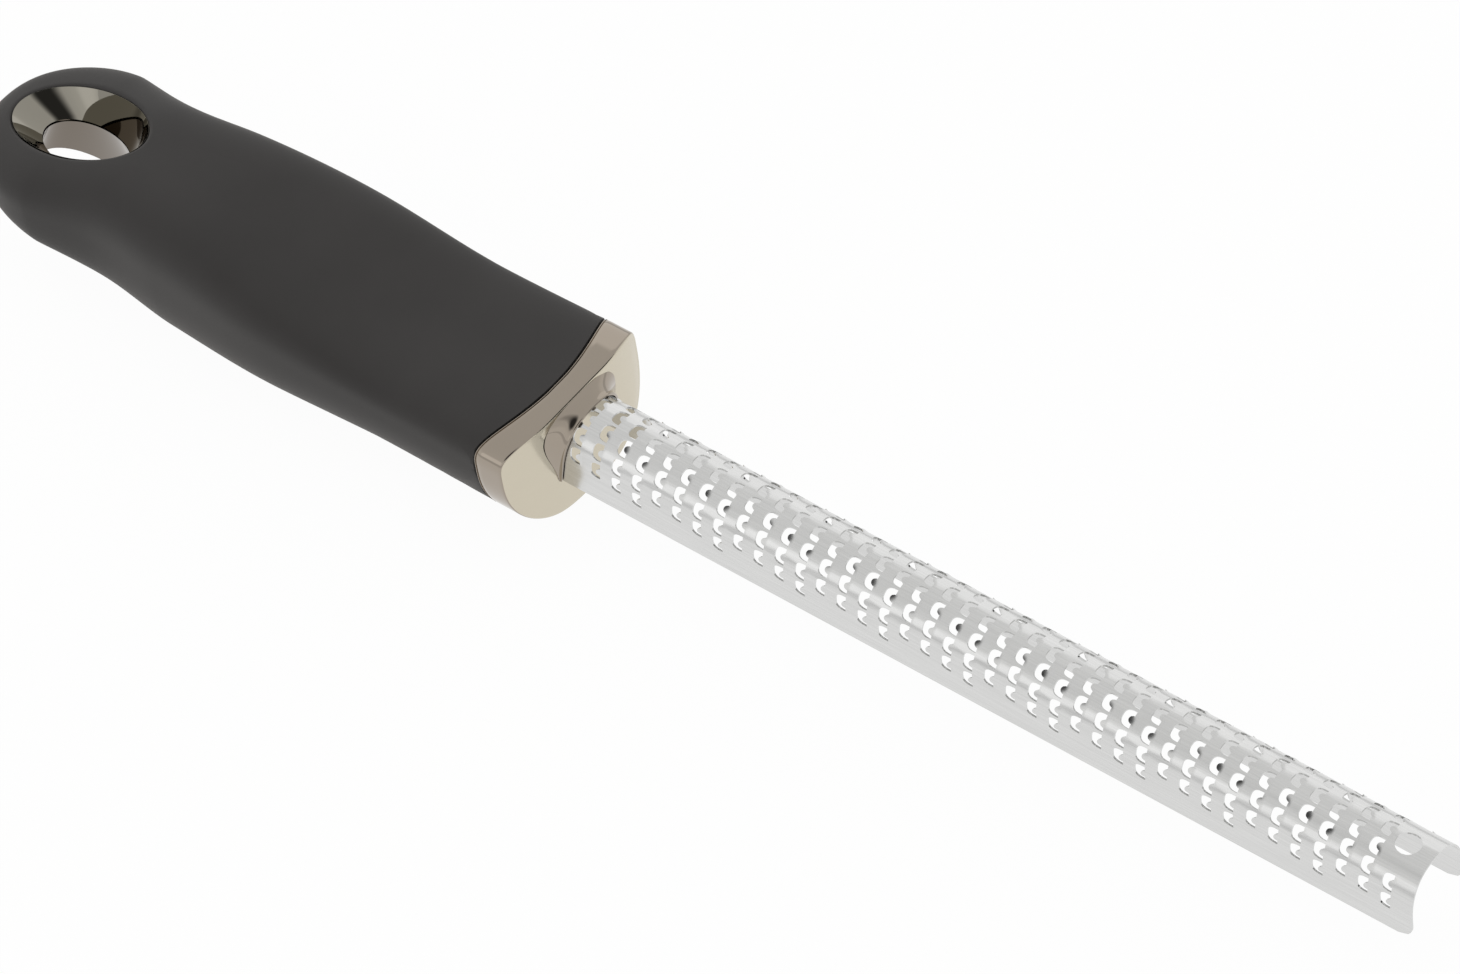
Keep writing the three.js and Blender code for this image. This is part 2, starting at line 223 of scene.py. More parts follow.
@dataclass(frozen=True)
class PlatedMetal(NodeFinish):
    """Black-chrome plating on a polished casting: a warm dark mirror with faint wipe marks."""

    name: str
    colour: str
    roughness: float
    wipe_mm: float = 2.5
    wipe_scale: Triple = (1, 0.2, 1)
    wipe_detail: float = 3.0
    wipe_range: Pair = (0.6, 1.6)

    def inputs(self, tree) -> dict:
        """Give a metal's colour, and a gloss that varies a little in long wipe marks."""
        wipe = add_noise(tree, self.wipe_mm, self.wipe_detail, self.wipe_scale)
        low, high = (self.roughness * share for share in self.wipe_range)
        return {"Metallic": 1.0, "Base Color": linear(self.colour),
                "Roughness": add_range(tree, wipe, low, high)}


@dataclass(frozen=True)
class SheetSteel(NodeFinish):
    """Cold-rolled stainless sheet: a satin grey with fine rolling lines along its length."""

    name: str
    pale: str
    dull: str
    dull_below: float = 0.3
    pale_above: float = 0.7
    roughness: Pair = (0.14, 0.24)
    line_mm: float = 0.25
    run_mm: float = 9.0

    def inputs(self, tree) -> dict:
        """Give colour and gloss in rolling lines, which are noise drawn out along X."""
        lines = add_noise(tree, self.line_mm, scale=(self.line_mm / self.run_mm, 1, 1))
        stops = ((self.dull_below, linear(self.dull)), (self.pale_above, linear(self.pale)))
        return {"Metallic": 1.0, "Base Color": add_ramp(tree, lines, stops),
                "Roughness": add_range(tree, lines, *self.roughness)}


@dataclass(frozen=True)
class MouldedPlastic(NodeFinish):
    """Moulded nylon of the hidden core: a plain dark plastic with a fine spark-eroded grain."""

    name: str = "moulded_nylon"
    colour: str = "#26262a"
    roughness: Pair = (0.4, 0.6)
    grain_mm: float = 0.5
    grain_strength: float = 0.2

    def inputs(self, tree) -> dict:
        """Give a plain colour, and a fine grain to the gloss and the bump."""
        grain = add_noise(tree, self.grain_mm)
        return {"Base Color": linear(self.colour),
                "Roughness": add_range(tree, grain, *self.roughness),
                "Normal": add_bump(tree, grain, self.grain_strength)}


class Finish(Enum):
    """The finishes that the pieces are dressed in."""

    GRIP = SoftTouch()
    BAND = PlatedMetal("black_chrome_band", "#a0968a", roughness=0.04)
    # The face is the same plating as the band. Its satin gloss is its own, but its paler colour is
    # painted light: a lit copy of the plating.
    FACE = PlatedMetal("black_chrome_face_painted_light", "#cbc3b1", roughness=0.16)
    # The eye's funnels wear darker copies of the same plating. This is painted shade in the hole:
    # slight on the upper half and deep on the lower half.
    EYE = PlatedMetal("black_chrome_eye_painted_shade", "#938f85", roughness=0.03)
    EYE_LOW = PlatedMetal("black_chrome_low_eye_painted_shade", "#6f665c", roughness=0.05)
    BLADE = SheetSteel("rolled_stainless_sheet", "#d9d9d8", "#d0d0cf")
    PIN = SheetSteel("ground_steel_pin", "#b8b8b8", "#a8a8a8", roughness=(0.21, 0.31))
    CORE = MouldedPlastic()

    def material(self) -> Material:
        """Give the finish's material, made at its first use."""
        return bpy.data.materials.get(self.value.name) or self.value.build()


def stacked(*parts: Array | float) -> Array:
    """Stack numbers or arrays as the last axis of one array, spread to a common shape."""
    return np.stack(np.broadcast_arrays(*parts), axis=-1)


def rectangle_loop(u: Array, v: Array) -> Array:
    """Go once round a rectangle and stop at every station of its sides.

    Args:
        u: stations of the side that is walked first, at the first v.
        v: stations of the side that is walked next, at the last u.

    Returns:
        Rows of u and v.
    """
    sides = (stacked(u, v[0]), stacked(u[-1], v), stacked(u[::-1], v[-1]), stacked(u[0], v[::-1]))
    return np.concatenate([side[:-1] for side in sides])


def grid_quads(points: Array, wrap_rows: bool) -> Array:
    """Index the quads of a grid of points whose rows are closed rings.

    Args:
        points: points by row and by place in the row.
        wrap_rows: whether the last row joins the first.

    Returns:
        Four point numbers for each quad, counted row by row.
    """
    rows, columns = points.shape[:2]
    row = np.arange(rows if wrap_rows else rows - 1)[:, None]
    column = np.arange(columns)[None, :]
    next_row = (row + 1) % rows
    next_column = (column + 1) % columns
    quad = (row * columns + column, row * columns + next_column,
            next_row * columns + next_column, next_row * columns + column)
    return stacked(*quad).reshape(-1, 4)


def add_object(name: str, data) -> bpy.types.Object:
    """Put an object with the given data into the scene."""
    made = bpy.data.objects.new(name, data)
    bpy.context.scene.collection.objects.link(made)
    return made


def add_piece(name: str, points_mm: Array, faces: list[Array], materials: list[Material],
              crease_deg: float, slots: Array | None = None) -> bpy.types.Object:
    """Put a surface into the scene as a smooth mesh with sharp edges past an angle.

    Args:
        name: the object's name.
        points_mm: points in millimetres, in any grid.
        faces: arrays of point numbers, one row for each face.
        materials: the finishes.
        crease_deg: edges that turn further than this stay sharp.
        slots: for each face the number of its finish, where there is more than one.

    Returns:
        The new object, riding on the frame's one body.
    """
    mesh = bpy.data.meshes.new(name)
    rows = [row for block in faces for row in block.tolist()]
    mesh.from_pydata((points_mm.reshape(-1, 3) * MM).tolist(), [], rows)
    mesh.update()
    mesh.shade_smooth()
    mesh.set_sharp_from_angle(angle=math.radians(crease_deg))
    for material in materials:
        mesh.materials.append(material)
    if slots is not None:
        mesh.polygons.foreach_set("material_index", slots.astype(np.int32))
    piece = add_object(name, mesh)
    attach(piece, "root")
    LOG.info("%s: %d points, %d faces", name, len(mesh.vertices), len(mesh.polygons))
    return piece


@dataclass(frozen=True)
class Stations:
    """A smooth curve through values at distances behind the bolster's face."""

    setbacks: Floats
    values: Floats

    def at(self, x: Array) -> Array:
        """Read the curve: cubic pieces whose slope at a station is the harmonic mean of the
        slopes on both sides, or zero at a peak or dip, so that it never swings past a station.

        Args:
            x: places along the handle.

        Returns:
            The values there, constant past both ends.
        """
        knots = -np.asarray(self.setbacks)
        values = np.asarray(self.values)
        steps = np.diff(values) / np.diff(knots)
        before = np.r_[steps[:1], steps]
        after = np.r_[steps, steps[-1:]]
        rising = before * after > 0
        slopes = np.where(rising, 2 * before * after / np.where(rising, before + after, 1), 0)
        x = np.clip(x, knots[0], knots[-1])
        i = np.clip(np.searchsorted(knots, x, side="right") - 1, 0, len(knots) - 2)
        span = knots[i + 1] - knots[i]
        t = (x - knots[i]) / span
        ease = t * t * (3 - 2 * t)
        lead = t * (1 - t) ** 2 * slopes[i] - t * t * (1 - t) * slopes[i + 1]
        return values[i] + (values[i + 1] - values[i]) * ease + span * lead


def signed_power(value: Array, exponent: Array | float) -> Array:
    """Raise the size of a value to a power and keep its sign."""
    return np.sign(value) * np.abs(value) ** exponent


@dataclass(frozen=True)
class HandForm:
    """The outer form that the grip and the bolster share."""

    tail_centre: float = -98.0
    tail_reach: float = 18.5
    tail_edge: float = 5.0
    widths: Stations = Stations((98, 85, 72, 49, 26, 4), (14.9, 13.2, 14.4, 16.05, 15.7, 15.9))
    levels: Stations = Stations((118, 98, 75, 40, 0), (8.0, 8.1, 7.6, 7.1, 7.1))
    tops: Stations = Stations((118, 110, 97, 84, 72, 49, 26, 4),
                              (11.6, 12.8, 15.8, 18.3, 18.6, 15.9, 12.7, 13.2))
    undersides: Stations = Stations((118, 98, 72, 38, 4), (3.2, -2.8, -8.6, -7.7, -7.7))
    top_powers: Stations = Stations((90, 30), (3.3, 4.3))
    under_powers: Stations = Stations((90, 30), (3.4, 2.4))
    seam: float = -4.2
    seam_sweep: float = 3.4
    face_flat: float = 5.5
    face_sweep: float = 2.0
    side: float = 15.9

    def past_tail(self, x: Array) -> Array:
        """Give how far x is past the tail's centre, from none to one at the tail's end."""
        return np.clip((self.tail_centre - x) / self.tail_reach, 0, 1)

    def half_width(self, x: Array) -> Array:
        """Give the half width, which closes in a half oval past the tail's centre."""
        round_end = np.sqrt(1 - self.past_tail(x) ** 2)
        return self.widths.at(np.maximum(x, self.tail_centre)) * round_end

    def rise_left(self, x: Array) -> Array:
        """Give the share of the section's rise that is left at x, none at the tail's end."""
        return np.sqrt(1 - self.past_tail(x) ** self.tail_edge)

    def section(self, x: Array, angle: Array) -> tuple[Array, Array]:
        """Give the section's outline: a superellipse about the widest level, flatter above.

        Args:
            x: place along the handle.
            angle: turn about the X axis from +Y towards +Z.

        Returns:
            Y and Z of the outline.
        """
        above = np.sin(angle) > 0
        thin = self.rise_left(x)
        level = self.levels.at(x)
        rise = np.where(above, self.tops.at(x) - level, level - self.undersides.at(x)) * thin
        power = 2 / np.where(above, self.top_powers.at(x), self.under_powers.at(x))
        y = self.half_width(x) * signed_power(np.cos(angle), power)
        return y, level + rise * signed_power(np.sin(angle), power)

    def skin(self, x: Array, y: Array, above: bool) -> Array:
        """Give the height of the upper or lower skin over a place in plan: the widest level plus
        the rise times the superellipse's share at that distance from the middle.

        Args:
            x: places along the handle.
            y: places across it.
            above: upper skin if true, lower skin if false.

        Returns:
            Heights.
        """
        level = self.levels.at(x)
        edge = self.tops.at(x) if above else self.undersides.at(x)
        power = self.top_powers.at(x) if above else self.under_powers.at(x)
        thin = self.rise_left(x)
        share = np.clip(np.abs(y) / np.maximum(self.half_width(x), TINY), 0, 1)
        return level + (edge - level) * thin * (1 - share**power) ** (1 / power)

    def seam_at(self, y: Array) -> Array:
        """Give the grip's front edge in plan, a parabola that sweeps back to the sides."""
        return self.seam - self.seam_sweep * (y / self.side) ** 2

    def face_at(self, y: Array) -> Array:
        """Give the bolster's face in plan, flat in the middle and swept back past that."""
        beyond = np.maximum(np.abs(y) - self.face_flat, 0) / (self.side - self.face_flat)
        return -self.face_sweep * beyond**2


@dataclass(frozen=True)
class EyeForm:
    """The oval funnel of the hanging eye, about an upright axis near the tail."""

    x: float = -97.85
    rim: Pair = (13.2, 7.3)
    low_rim: Pair = (12.0, 6.2)
    waist: Pair = (8.2, 4.55)
    recess: float = 0.1
    waist_depth: float = 5.7
    halves_gap: float = 0.45

    def radius(self, half_axes: Pair, angle: Array, grow: float = 0.0) -> Array:
        """Give an oval's radius in a direction, as of an ellipse about the eye's axis."""
        long, short = half_axes[0] + grow, half_axes[1] + grow
        return long * short / np.hypot(short * np.cos(angle), long * np.sin(angle))

    def rim_plane(self, hand: HandForm, x: Array, above: bool) -> Array:
        """Give the height of the plane through the rim's two ends, one recess inside the skin."""
        ends = np.array([self.x - self.rim[0], self.x + self.rim[0]])
        skin, inset = (hand.tops, -self.recess) if above else (hand.undersides, self.recess)
        heights = skin.at(ends) + inset
        share = (x - ends[0]) / (ends[1] - ends[0])
        return heights[0] + (heights[1] - heights[0]) * share

    def waist_level(self, hand: HandForm) -> float:
        """Give the height of the upper half's waist."""
        return float(self.rim_plane(hand, np.array(self.x), True)) - self.waist_depth


@dataclass(frozen=True)
class Grip:
    """The soft shell, as sections through the eye's axis turned all the way round it."""

    hand: HandForm
    eye: EyeForm
    front_steps: int = 44
    side_steps: int = 190
    side_samples: int = 6000
    skin_steps: int = 44
    lip_steps: int = 7
    lip: float = 0.9
    eye_gap: float = 0.05
    crowd: float = 3.2
    search_reach: float = 140.0
    halvings: int = 44

    def outline_radius(self, angle: Array) -> Array:
        """Find the plan outline's distance from the eye's axis by halving the interval.

        Args:
            angle: directions about the axis.

        Returns:
            Distances to the side or to the seam.
        """
        low = np.zeros_like(angle)
        high = np.full_like(angle, self.search_reach)
        for _ in range(self.halvings):
            middle = (low + high) / 2
            x = self.eye.x + middle * np.cos(angle)
            y = middle * np.sin(angle)
            inside = (np.abs(y) < self.hand.half_width(x)) & (x < self.hand.seam_at(y))
            low = np.where(inside, middle, low)
            high = np.where(inside, high, middle)
        return low

    def corner_angle(self) -> float:
        """Give the direction of the corner where the seam meets the side."""
        y = float(self.hand.half_width(np.array(self.hand.seam - self.hand.seam_sweep)))
        return math.atan2(y, float(self.hand.seam_at(np.array(y))) - self.eye.x)

    def directions(self) -> tuple[Array, Array]:
        """Choose the directions of the sections: evenly along the seam, then along the side.

        Returns:
            Directions once round, and for each whether it ends on the seam.
        """
        corner = self.corner_angle()
        front = np.arctan(np.linspace(-1, 1, self.front_steps + 1) * math.tan(corner))
        fine = np.linspace(corner, math.pi, self.side_samples)
        reach = self.outline_radius(fine)
        run = np.hypot(np.diff(reach * np.cos(fine)), np.diff(reach * np.sin(fine)))
        length = np.r_[0, np.cumsum(run)]
        even = np.linspace(0, length[-1], self.side_steps + 1)[1:]
        left = np.interp(even, length, fine)
        angle = np.r_[front, left, -left[-2::-1]]
        return angle, np.arange(len(angle)) <= self.front_steps

    def points(self) -> Array:
        """Work out the shell: in each direction the section runs over the upper hole's round lip,
        out along the upper skin, back along the lower skin and over the lower hole's lip; the
        hole's wall closes it. Along the side the lower skin's points lie half a step further in.

        Returns:
            Points by direction and place along the section.
        """
        angle, on_seam = self.directions()
        angle = angle[:, None]
        reach = self.outline_radius(angle)
        turn = np.linspace(0, math.pi / 2, self.lip_steps)
        lip_out = self.lip * (1 - np.cos(turn))
        drop = np.r_[self.lip * (1 - np.sin(turn)), np.zeros(self.skin_steps)]
        share = np.linspace(0, 1, self.skin_steps + 1)[1:]
        shift = np.where(on_seam[:, None], 0, 0.5 / self.skin_steps)
        halves = []
        for above, rim, run in ((True, self.eye.rim, share),
                                (False, self.eye.low_rim, np.clip(share - shift, 0, 1))):
            lip = self.eye.radius(rim, angle, self.eye_gap) + self.lip
            skin = lip + (reach - lip) * (1 - (1 - run) ** self.crowd)
            radius = np.concatenate([lip - self.lip + lip_out, skin], axis=1)
            x = self.eye.x + radius * np.cos(angle)
            y = radius * np.sin(angle)
            z = self.hand.skin(x, y, above) - (drop if above else -drop)
            half = stacked(x, y, z)
            halves.append(half if above else half[:, ::-1])
        return np.concatenate(halves, axis=1)

    def build(self) -> None:
        """Make the grip in place of its solid."""
        points = self.points()
        piece = add_piece("soft_grip_shell", points, [grid_quads(points, True)],
                          [Finish.GRIP.material()], crease_deg=50)
        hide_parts("soft_grip")


@dataclass(frozen=True)
class HangingEye:
    """The two plated funnels that line the hole."""

    hand: HandForm
    eye: EyeForm
    around: int = 128
    along: int = 10
    wall: float = 0.7
    rim_wall_share: float = 0.02
    sink: float = 0.25

    def funnel(self, rim: Pair, above: bool) -> Array:
        """Work out one half: straight lines from the rim's oval to the waist's, and back along
        lines that lie one wall further out at the waist and hardly any at the rim.

        Args:
            rim: the outer oval's half axes.
            above: upper half if true.

        Returns:
            Points by direction and place along the wall's section.
        """
        angle = (np.arange(self.around) * 2 * math.pi / self.around)[:, None]
        to_rim = 1 - np.linspace(0, 1, self.along)
        waist = self.eye.waist_level(self.hand) - (0 if above else self.eye.halves_gap)
        sections = []
        for grow, part in ((0.0, to_rim), (self.wall, to_rim[::-1])):
            inner = self.eye.radius(self.eye.waist, angle, grow)
            outer = self.eye.radius(rim, angle, grow * self.rim_wall_share)
            radius = inner + (outer - inner) * part
            x = self.eye.x + radius * np.cos(angle)
            y = radius * np.sin(angle)
            edge = self.eye.rim_plane(self.hand, self.eye.x + outer * np.cos(angle), above)
            edge = edge + (-self.sink if above else self.sink)
            z = waist + (edge - waist) * part
            sections.append(stacked(x, y, z))
        return np.concatenate(sections, axis=1)

    def build(self) -> None:
        """Make both halves in place of their solids."""
        # Each half takes its darker copy of the plating, which is painted shade in the hole and
        # deepest on the lower half.
        halves = ((True, self.eye.rim, "hang_eye_upper", Finish.EYE),
                  (False, self.eye.low_rim, "hang_eye_lower", Finish.EYE_LOW))
        for above, rim, node, finish in halves:
            points = self.funnel(rim, above)
            quads = grid_quads(points, True)
            piece = add_piece(node + "_funnel", points, [quads[:, ::-1] if above else quads],
                              [finish.material()], crease_deg=30)
            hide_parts(node)


@dataclass(frozen=True)
class BladeForm:
    """The blade's arch and how a flat sheet is bent to it."""

    width: float = 12.35
    height: float = 11.95
    flank: float = 3.7
    power: float = 2.4
    sheet: float = 0.3
    reach: float = 152.4
    arch_points: int = 3001
    flank_points: int = 201

    def track(self) -> Array:
        """Follow half the arch from the crest down: a superellipse quarter, then a straight
        flank.

        Returns:
            Rows of distance run, Y, Z, and the outward normal's Y and Z.
        """
        angle = np.linspace(0, math.pi / 2, self.arch_points)
        y = self.width / 2 * np.sin(angle) ** (2 / self.power)
        z = self.flank + (self.height - self.flank) * np.cos(angle) ** (2 / self.power)
        foot = np.linspace(self.flank, 0, self.flank_points)[1:]
        y = np.r_[y, np.full_like(foot, self.width / 2)]
        z = np.r_[z, foot]
        step = np.hypot(np.diff(y), np.diff(z))
        run = np.r_[0, np.cumsum(step)]
        slope_y, slope_z = np.gradient(y, run), np.gradient(z, run)
        size = np.hypot(slope_y, slope_z)
        return np.stack([run, y, z, -slope_z / size, slope_y / size])

    def length(self) -> float:
        """Give the distance along the arch from the crest to a lower edge."""
        return float(self.track()[0, -1])

    def bend(self, flat: Array) -> Array:
        """Bend flat points to the arch.

        Args:
            flat: rows of X, distance from the crest (positive towards -Y), and lift.

        Returns:
            Points in the frame.
        """
        run, y, z, normal_y, normal_z = self.track()
        x, arc, lift = flat.T
        away = np.abs(arc)
        side = np.where(arc > 0, -1.0, 1.0)
        out_y = np.interp(away, run, y) + lift * np.interp(away, run, normal_y)
        out_z = np.interp(away, run, z) + lift * np.interp(away, run, normal_z)
        return stacked(x, side * out_y, out_z)


@dataclass(frozen=True)
class ToothPattern:
    """The etched openings: each cell of the sheet holds a tongue in a crescent opening."""

    first: float = 3.35
    pitch: float = 3.8
    rows: int = 39
    across: float = 3.23
    stagger: int = 4
    lowest: float = 10.45
    hole_x: float = 147.95
    hole_radius: float = 1.95
    hole_margin: float = 1.6
    cell_back: float = 2.2
    across_parts: int = 8
    along_parts: int = 3
    root: float = 1.05
    opening_half: float = 1.38
    opening_reach: float = 1.8
    opening_power: float = 3.3
    tongue_half: float = 0.62
    tongue_reach: float = 0.62
    tongue_lift: float = 0.17
    tongue_round: float = 0.94
    tongue_taper: float = 0.97
    tongue_thinning: float = 0.6
    corner: float = 2.5

    def teeth(self) -> tuple[Array, Array]:
        """List the teeth by row and by place across, and leave out those at the tip's hole."""
        step = self.across / self.stagger
        places = int(2 * self.lowest / step) + 1
        row, place = np.meshgrid(np.arange(self.rows), np.arange(places), indexing="ij")
        arc = self.lowest - place * step
        in_row = place % self.stagger == self.stagger - 1 - row % self.stagger
        off_hole = np.hypot(self.first + row * self.pitch - self.hole_x, arc)
        keep = in_row & (off_hole > self.hole_radius + self.hole_margin)
        return row[keep], place[keep]

    def cell(self) -> tuple[Array, Array]:
        """Draw one cell: a ring of quads from the cell's edge to the opening's edge, and a
        ramp of quads from the tongue's root to its raised cutting edge.

        Returns:
            Quads as corner points of (along, across, lift), and the sheet's share of thickness
            at each corner.
        """
        front, back, half = self.pitch - self.cell_back, -self.cell_back, self.across / 2
        rise = np.linspace(-half, half, self.across_parts + 1)
        fall = np.linspace(front, back, self.along_parts + 1)
        edge = rectangle_loop(rise, fall)[:, ::-1]
        tongue = np.linspace(-self.tongue_half, self.tongue_half, self.across_parts - 1)
        root_v = np.r_[[-self.opening_half], tongue, [self.opening_half]]
        bow = np.linspace(math.pi / 2, -math.pi / 2, len(edge) - len(root_v) + 2)[1:-1]
        power = 2 / self.opening_power
        arc = stacked(self.root - self.opening_reach * np.cos(bow) ** power,
                      self.opening_half * signed_power(np.sin(bow), power))
        opening = np.r_[stacked(self.root, root_v), arc]
        ring = np.stack([edge, np.roll(edge, -1, 0), np.roll(opening, -1, 0), opening], axis=1)
        bulge = np.sqrt(1 - self.tongue_round * (tongue / self.tongue_half) ** 2)
        root_line = stacked(self.root, tongue)
        cut_line = stacked(self.root - self.tongue_reach * bulge, self.tongue_taper * tongue)
        ramp = np.stack([root_line[:-1], root_line[1:], cut_line[1:], cut_line[:-1]], axis=1)
        flat = np.r_[ring, ramp]
        raised = np.zeros(flat.shape[:2])
        raised[len(ring):, 2] = bulge[1:]
        raised[len(ring):, 3] = bulge[:-1]
        quads = np.concatenate([flat, self.tongue_lift * raised[..., None]], axis=-1)
        return quads, 1 - self.tongue_thinning * raised


@dataclass(frozen=True)
class Blade:
    """The blade's sheet with its teeth, the tip's hole and round lower corners."""

    form: BladeForm
    pattern: ToothPattern
    start: float = 0.3
    tang: float = -30.0
    tang_height: float = 6.0
    band_parts: int = 5
    root_points: int = 3
    tang_points: int = 5
    tip_points: int = 7
    hole_rings: Floats = (0.0, 0.35, 0.7, 1.0)
    hole_ring_power: float = 0.8
    weld: float = 2e-4

    def lines(self) -> Array:
        """Choose the lines along the sheet, from the near lower edge to the far one: those of a
        plain band, of the pattern and of a plain band again.

        Returns:
            Distances from the crest, positive towards the near edge.
        """
        step = self.pattern.across / self.pattern.across_parts
        top = self.pattern.lowest + self.pattern.across / 2
        count = int(round(2 * top / step))
        inside = top - step * np.arange(count + 1)
        length = self.form.length()
        near = np.linspace(length, inside[0], self.band_parts + 1)[:-1]
        far = np.linspace(inside[-1], -length, self.band_parts + 1)[1:]
        return np.r_[near, inside, far]

    def plain_quads(self, stations: Array, lines: Array, keep: Array) -> Array:
        """Tile the plain places of one or more strips.

        Args:
            stations: for each strip its X stations.
            lines: lines along the sheet.
            keep: for each strip and gap between lines, whether it is plain.

        Returns:
            Quads as corner points of (X, arc).
        """
        strip, gap = np.nonzero(keep)
        x0, x1 = stations[strip][:, :-1], stations[strip][:, 1:]
        a0, a1 = lines[gap][:, None], lines[gap + 1][:, None]
        quad = [stacked(x0, a0), stacked(x1, a0), stacked(x1, a1), stacked(x0, a1)]
        return np.stack(quad, axis=2).reshape(-1, 4, 2)

    def hole_quads(self, left: Array, right: Array, lines: Array) -> Array:
        """Tile the place around the tip's hole with rings that go from the place's straight
        edge to the hole's circle.

        Args:
            left: X stations of the last toothed strip.
            right: X stations of the strip at the tip.
            lines: lines that the place covers.

        Returns:
            Quads as corner points of (X, arc).
        """
        edge = rectangle_loop(np.r_[left, right[1:]], lines)
        centre = np.array([self.pattern.hole_x, (lines[0] + lines[-1]) / 2])
        away = edge - centre
        circle = centre + self.pattern.hole_radius * away / np.linalg.norm(away, axis=1)[:, None]
        share = (np.array(self.hole_rings) ** self.hole_ring_power)[:, None, None]
        rings = edge + (circle - edge) * share
        after = np.roll(rings, -1, axis=1)
        return np.stack([rings[:-1], after[:-1], after[1:], rings[1:]], axis=2).reshape(-1, 4, 2)

    def flat_quads(self) -> tuple[Array, Array]:
        """Lay out the whole sheet flat: teeth cells, plain strips, the hole and the tang.

        Returns:
            Quads as corner points of (X, arc, lift), and shares of the sheet's thickness.
        """
        p = self.pattern
        lines, first = self.lines(), self.band_parts
        gaps = len(lines) - 1
        row, place = p.teeth()
        cell, share = p.cell()
        middle = stacked(p.first + row * p.pitch, p.lowest - place * p.across / p.stagger, 0.0)
        toothed = (middle[:, None, None, :] + cell[None]).reshape(-1, 4, 3)
        toothed_share = np.tile(share, (len(row), 1))
        free = np.ones((p.rows, gaps), bool)
        begin = first + place * p.across_parts // p.stagger
        free[row[:, None], begin[:, None] + np.arange(p.across_parts)] = False
        steps = np.linspace(-p.cell_back, p.pitch - p.cell_back, p.along_parts + 1)
        strips = p.first + p.pitch * np.arange(p.rows)[:, None] + steps
        tip = np.linspace(strips[-1, -1], self.form.reach, self.tip_points)
        crest = first + int(round(lines[first] / (lines[first] - lines[first + 1])))
        hole = slice(crest - p.across_parts, crest + p.across_parts)
        free[-1, hole] = False
        tip_free = np.ones((1, gaps), bool)
        tip_free[0, hole] = False
        run, _, z, _, _ = self.form.track()
        low = np.interp(np.abs((lines[1:] + lines[:-1]) / 2), run, z) < self.tang_height
        root = np.linspace(self.start, strips[0, 0], self.root_points)
        tabs = np.linspace(self.tang, self.start, self.tang_points)
        sheets = [
            self.plain_quads(strips, lines, free),
            self.plain_quads(tip[None], lines, tip_free),
            self.plain_quads(root[None], lines, np.ones((1, gaps), bool)),
            self.plain_quads(tabs[None], lines, low[None]),
            self.hole_quads(strips[-1], tip, lines[hole.start:hole.stop + 1])]
        plain = np.pad(np.concatenate(sheets), ((0, 0), (0, 0), (0, 1)))
        quads = np.r_[toothed, plain]
        shares = np.r_[toothed_share, np.ones(plain.shape[:2])]
        return self.round_corners(quads, tip[0]), shares

    def round_corners(self, quads: Array, tip_start: float) -> Array:
        """Draw the tip strip's points in so that its lower corners follow a quarter circle."""
        x, arc = quads[..., 0], quads[..., 1]
        radius = self.pattern.corner
        rise = np.clip(self.form.length() - np.abs(arc), 0, radius)
        end = self.form.reach - radius + np.sqrt(radius**2 - (radius - rise) ** 2)
        share = (end - tip_start) / (self.form.reach - tip_start)
        drawn = np.where(x > tip_start, tip_start + (x - tip_start) * share, x)
        return stacked(drawn, arc, quads[..., 2])

    def build(self) -> None:
        """Weld the flat quads, turn them outwards, thicken them and bend them to the arch."""
        quads, shares = self.flat_quads()
        keys = np.round(quads.reshape(-1, 3) / self.weld).astype(np.int64)
        _, source, number = np.unique(keys, axis=0, return_index=True, return_inverse=True)
        flat = quads.reshape(-1, 3)[source]
        thick = self.form.sheet * shares.reshape(-1)[source]
        faces = number.reshape(-1, 4)
        corner = flat[faces]
        across = corner[:, 2, :2] - corner[:, 0, :2]
        other = corner[:, 3, :2] - corner[:, 1, :2]
        inward = across[:, 0] * other[:, 1] - across[:, 1] * other[:, 0] > 0
        faces[inward] = faces[inward][:, ::-1]
        count = len(flat)
        edges = stacked(faces, np.roll(faces, -1, axis=1)).reshape(-1, 2)
        _, index, times = np.unique(np.sort(edges, axis=1), axis=0, return_index=True,
                                    return_counts=True)
        rim = edges[index[times == 1]]
        walls = stacked(rim[:, 1], rim[:, 0], rim[:, 0] + count, rim[:, 1] + count)
        inner = flat - np.outer(thick, (0, 0, 1))
        points = self.form.bend(np.r_[flat, inner])
        piece = add_piece("blade_sheet", points, [faces, faces[:, ::-1] + count, walls],
                          [Finish.BLADE.material()], crease_deg=40)
        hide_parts("grater_blade")


